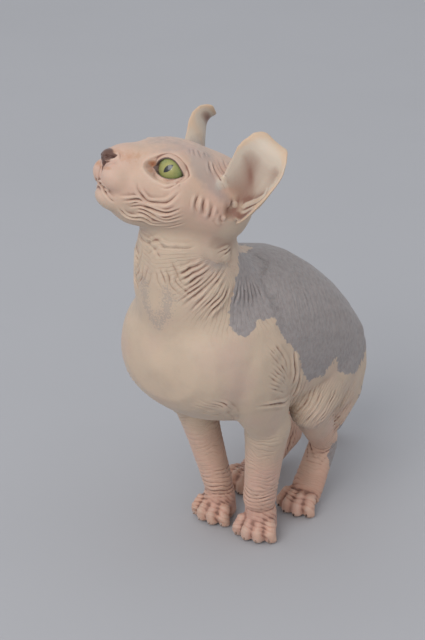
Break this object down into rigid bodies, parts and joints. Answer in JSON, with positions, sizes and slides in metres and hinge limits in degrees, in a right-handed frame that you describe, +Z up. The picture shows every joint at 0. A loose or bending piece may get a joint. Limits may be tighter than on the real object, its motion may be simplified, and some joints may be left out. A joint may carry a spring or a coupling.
{
  "type": "sphynx cat",
  "caption": "Hairless cat with large ears curled back at the tips, standing low on folded hind legs, head turned and lifted, tail laid on the floor.",
  "frame": {"origin": "on the floor, under the middle of the bounds", "axes": "+Z up, the chest faces -Y, the cat's left side is +X"},
  "size_m": [0.2238, 0.2868, 0.3468],
  "materials": {
    "skin": "bare wrinkled skin, satin, with grey patches on the back",
    "eye": "wet and glossy, green iris with an upright slit pupil",
    "claw": "smooth horn"
  },
  "bodies": {
    "root": {"torso": "skin", "neck": "skin", "head": "skin", "ear_left": "skin", "ear_right": "skin", "upper_arm_left": "skin", "forearm_left": "skin", "fore_paw_left": "skin", "thigh_left": "skin", "shank_left": "skin", "hind_paw_left": "skin", "upper_arm_right": "skin", "forearm_right": "skin", "fore_paw_right": "skin", "thigh_right": "skin", "shank_right": "skin", "hind_paw_right": "skin", "tail_root": "skin", "tail_bend": "skin", "tail_tip": "skin", "eye_left": "eye", "eye_right": "eye", "claw_fore_left_1": "claw", "claw_fore_left_2": "claw", "claw_fore_left_3": "claw", "claw_fore_left_4": "claw", "claw_hind_left_1": "claw", "claw_hind_left_2": "claw", "claw_hind_left_3": "claw", "claw_hind_left_4": "claw", "claw_fore_right_1": "claw", "claw_fore_right_2": "claw", "claw_fore_right_3": "claw", "claw_fore_right_4": "claw", "claw_hind_right_1": "claw", "claw_hind_right_2": "claw", "claw_hind_right_3": "claw", "claw_hind_right_4": "claw"}
  },
  "joints": []
}
